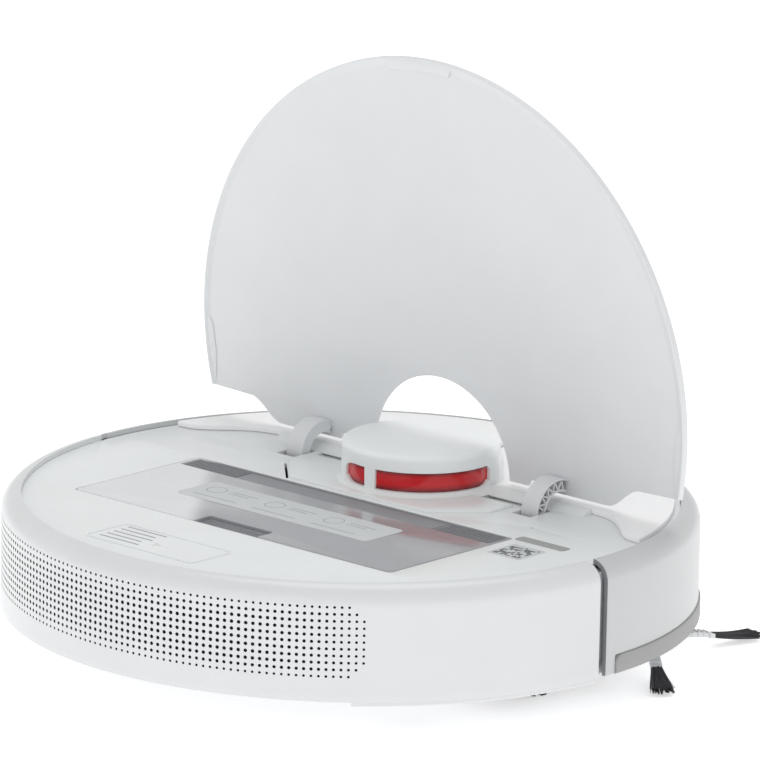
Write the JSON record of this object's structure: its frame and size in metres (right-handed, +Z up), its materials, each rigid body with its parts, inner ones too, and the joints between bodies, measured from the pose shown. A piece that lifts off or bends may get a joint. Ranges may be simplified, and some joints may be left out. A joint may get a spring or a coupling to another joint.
{
  "type": "robot vacuum cleaner",
  "caption": "Round floor-cleaning robot with a sensor turret, a hinged lid standing open over a lift-out dustbin, a bumper and a side brush.",
  "frame": {"origin": "on the floor, under the centre of the round body", "axes": "+Y is the driving direction, +X the right-hand side, +Z up"},
  "size_m": [0.3549, 0.351, 0.29],
  "materials": {
    "white_shell": "satin moulded plastic",
    "lid_white": "satin moulded plastic",
    "deck_grey": "fine matt texture",
    "base_grey": "fine matt texture",
    "strip_grey": "soft matt elastomer",
    "bin_smoke": "smoked translucent plastic",
    "dark_plastic": "matt moulded plastic",
    "mid_grey": "matt moulded plastic",
    "red_window": "tinted transparent plastic",
    "filter_white": "pleated filter paper",
    "black_rubber": "tread rubber",
    "belt_rubber": "smooth rubber",
    "blade_rubber": "soft rubber",
    "brush_white": "satin moulded plastic",
    "bristle": "nylon bristle",
    "steel": "bright steel",
    "contact_metal": "plated contact",
    "battery_wrap": "shrink wrap",
    "board_green": "solder mask",
    "sensor_black": "dark clear plastic"
  },
  "bodies": {
    "root": {"base_shell": "base_grey", "side_skirt": "white_shell", "top_deck": "deck_grey", "front_cover": "white_shell", "dustbin_bay": "dark_plastic", "tower_housing": "white_shell", "lidar_window": "red_window", "lidar_motor": "steel", "lidar_belt": "belt_rubber", "hinge_brackets": "steel", "hinge_pins": "steel", "battery_pack": "battery_wrap", "circuit_boards": "board_green", "fan_housing": "dark_plastic", "fan_motor": "steel", "bumper_switches": "dark_plastic", "speaker": "dark_plastic", "charge_contacts": "contact_metal", "cliff_sensors": "sensor_black", "main_brush_guard": "dark_plastic", "main_brush_bearings": "dark_plastic", "main_brush_drive": "dark_plastic", "side_brush_motor": "dark_plastic", "caster_socket": "dark_plastic", "case_screws": "steel", "suspension_pins": "steel", "left_wheel_spring": "steel", "right_wheel_spring": "steel"},
    "lid": {"lid_panel": "lid_white", "left_hinge_arm": "lid_white", "right_hinge_arm": "lid_white"},
    "bumper": {"bumper": "white_shell", "bumper_strip": "strip_grey"},
    "lidar": {"lidar_rotor": "dark_plastic", "lidar_head": "dark_plastic", "lidar_lenses": "sensor_black"},
    "lidar_drive": {"lidar_pulley": "dark_plastic"},
    "dustbin": {"dustbin_body": "bin_smoke", "dustbin_cover": "bin_smoke", "dustbin_handle": "mid_grey", "dustbin_latch": "mid_grey", "dustbin_filter": "filter_white"},
    "fan": {"fan_impeller": "dark_plastic"},
    "main_brush": {"main_brush_core": "dark_plastic", "main_brush_blades": "blade_rubber"},
    "side_brush": {"side_brush_hub": "brush_white", "side_brush_bristles": "bristle", "side_brush_screw": "steel"},
    "caster": {"caster_fork": "dark_plastic", "caster_axle": "steel"},
    "caster_wheel": {"caster_wheel": "black_rubber"},
    "power_button": {"power_button": "white_shell"},
    "home_button": {"home_button": "white_shell"},
    "left_suspension": {"left_drive_unit": "dark_plastic"},
    "left_wheel": {"left_wheel_hub": "mid_grey", "left_wheel_tyre": "black_rubber"},
    "right_suspension": {"right_drive_unit": "dark_plastic"},
    "right_wheel": {"right_wheel_hub": "mid_grey", "right_wheel_tyre": "black_rubber"}
  },
  "joints": [
    {"name": "lid_hinge", "type": "hinge", "parent": "root", "child": "lid", "pos_m": [0, 0.0585, 0.0693], "axis": [1, 0, 0], "range_deg": [0, 86]},
    {"name": "bumper_press", "type": "slide", "parent": "root", "child": "bumper", "axis": [0, -1, 0], "range_m": [0, 0.0022], "stiffness_N_per_m": 400},
    {"name": "lidar_spin", "type": "hinge", "parent": "root", "child": "lidar", "pos_m": [0, 0.051, 0.075], "axis": [0, 0, 1], "continuous": true},
    {"name": "lidar_drive_spin", "type": "hinge", "parent": "root", "child": "lidar_drive", "pos_m": [-0.05, 0.051, 0.066], "axis": [0, 0, 1], "continuous": true},
    {"name": "dustbin_lift", "type": "slide", "parent": "root", "child": "dustbin", "axis": [0, 0, -1], "range_m": [-0.075, 0]},
    {"name": "fan_spin", "type": "hinge", "parent": "root", "child": "fan", "pos_m": [0, -0.125, 0.04], "axis": [0, 0, 1], "continuous": true},
    {"name": "main_brush_spin", "type": "hinge", "parent": "root", "child": "main_brush", "pos_m": [0, 0.022, 0.027], "axis": [1, 0, 0], "continuous": true},
    {"name": "side_brush_spin", "type": "hinge", "parent": "root", "child": "side_brush", "pos_m": [0.124, 0.086, 0.02], "axis": [0, 0, 1], "continuous": true},
    {"name": "caster_swivel", "type": "hinge", "parent": "root", "child": "caster", "pos_m": [0, 0.128, 0.04], "axis": [0, 0, 1], "continuous": true},
    {"name": "caster_roll", "type": "hinge", "parent": "caster", "child": "caster_wheel", "pos_m": [0, 0.12, 0.013], "axis": [1, 0, 0], "continuous": true},
    {"name": "power_press", "type": "slide", "parent": "root", "child": "power_button", "axis": [0, 0, -1], "range_m": [0, 0.0012], "stiffness_N_per_m": 300},
    {"name": "home_press", "type": "slide", "parent": "root", "child": "home_button", "axis": [0, 0, -1], "range_m": [0, 0.0012], "stiffness_N_per_m": 300},
    {"name": "left_suspension_swing", "type": "hinge", "parent": "root", "child": "left_suspension", "pos_m": [-0.11, 0.044, 0.038], "axis": [1, 0, 0], "range_deg": [0, 16], "stiffness_Nm_per_rad": 0.25, "springref_deg": 34.38, "deforming": ["left_wheel_spring"]},
    {"name": "left_wheel_spin", "type": "hinge", "parent": "left_suspension", "child": "left_wheel", "pos_m": [-0.124, 0, 0.032], "axis": [1, 0, 0], "continuous": true},
    {"name": "right_suspension_swing", "type": "hinge", "parent": "root", "child": "right_suspension", "pos_m": [0.11, 0.044, 0.038], "axis": [1, 0, 0], "range_deg": [0, 16], "stiffness_Nm_per_rad": 0.25, "springref_deg": 34.38, "deforming": ["right_wheel_spring"]},
    {"name": "right_wheel_spin", "type": "hinge", "parent": "right_suspension", "child": "right_wheel", "pos_m": [0.124, 0, 0.032], "axis": [1, 0, 0], "continuous": true}
  ],
  "couplings": [
    {"joint": "lidar_drive_spin", "follows": "lidar_spin", "ratio": 4}
  ]
}
